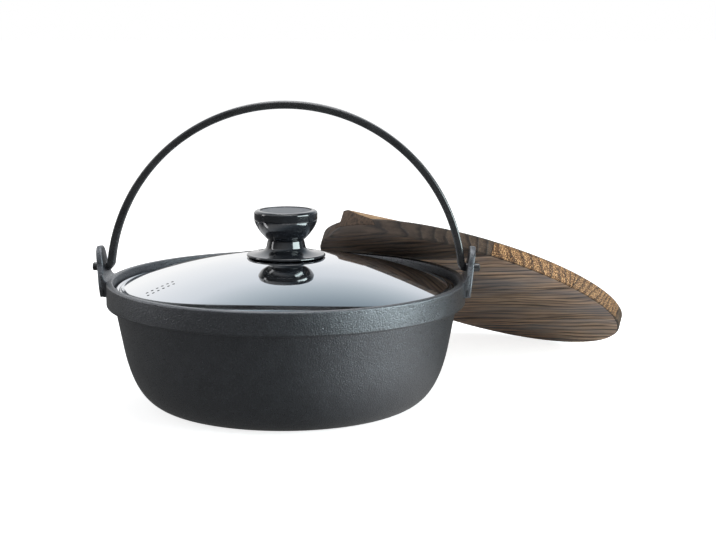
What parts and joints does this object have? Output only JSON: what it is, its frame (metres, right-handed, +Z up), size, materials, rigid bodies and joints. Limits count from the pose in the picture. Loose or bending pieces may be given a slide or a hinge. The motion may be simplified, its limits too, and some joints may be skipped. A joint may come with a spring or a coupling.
{
  "type": "nabe pot",
  "caption": "Cast-iron hot pot with a swinging bail, a domed steel lid with a knob that drops into the rim, and a plank lid leaning on the back of the rim.",
  "frame": {"origin": "middle of the pot's flat base, on the table", "axes": "+Z up along the pot's axis, +X through the ears, and -Y is the front"},
  "size_m": [0.4013, 0.3866, 0.2208],
  "materials": {
    "pot_iron": "sand-cast, dark grey and rough",
    "bail_iron": "satin black",
    "lid_steel": "mirror-polished stainless steel",
    "knob_phenolic": "glossy black phenolic",
    "cap_metal": "satin grey",
    "insert_brass": "turned",
    "fastener_steel": "plain",
    "plank_cedar": "scorched cedar, brushed",
    "batten_cedar": "scorched cedar, lighter at the cut ends"
  },
  "bodies": {
    "pot": {"pot_body": "pot_iron"},
    "bail": {"bail_handle": "bail_iron"},
    "lid": {"lid_shell": "lid_steel", "knob_collar": "knob_phenolic", "knob_body": "knob_phenolic", "knob_cap": "cap_metal", "knob_insert": "insert_brass", "knob_washer": "fastener_steel", "knob_screw": "fastener_steel"},
    "wood_lid": {"wood_plank_1": "plank_cedar", "wood_plank_2": "plank_cedar", "wood_plank_3": "plank_cedar", "wood_plank_4": "plank_cedar", "wood_batten": "batten_cedar", "wood_dowel_1": "batten_cedar", "wood_dowel_2": "batten_cedar", "wood_dowel_3": "batten_cedar", "wood_dowel_4": "batten_cedar", "wood_dowel_5": "batten_cedar", "wood_dowel_6": "batten_cedar"}
  },
  "joints": [
    {"name": "bail_swing", "type": "hinge", "parent": "pot", "child": "bail", "pos_m": [0, 0, 0.1005], "axis": [1, 0, 0], "range_deg": [-45, 88]},
    {"name": "lid_lift", "type": "slide", "parent": "pot", "child": "lid", "axis": [0, 0, 1], "range_m": [0, 0.0085]},
    {"name": "wood_lid_lift", "type": "slide", "parent": "pot", "child": "wood_lid", "axis": [0.2731, 0.3857, 0.8813], "range_m": [0, 0.2]}
  ]
}
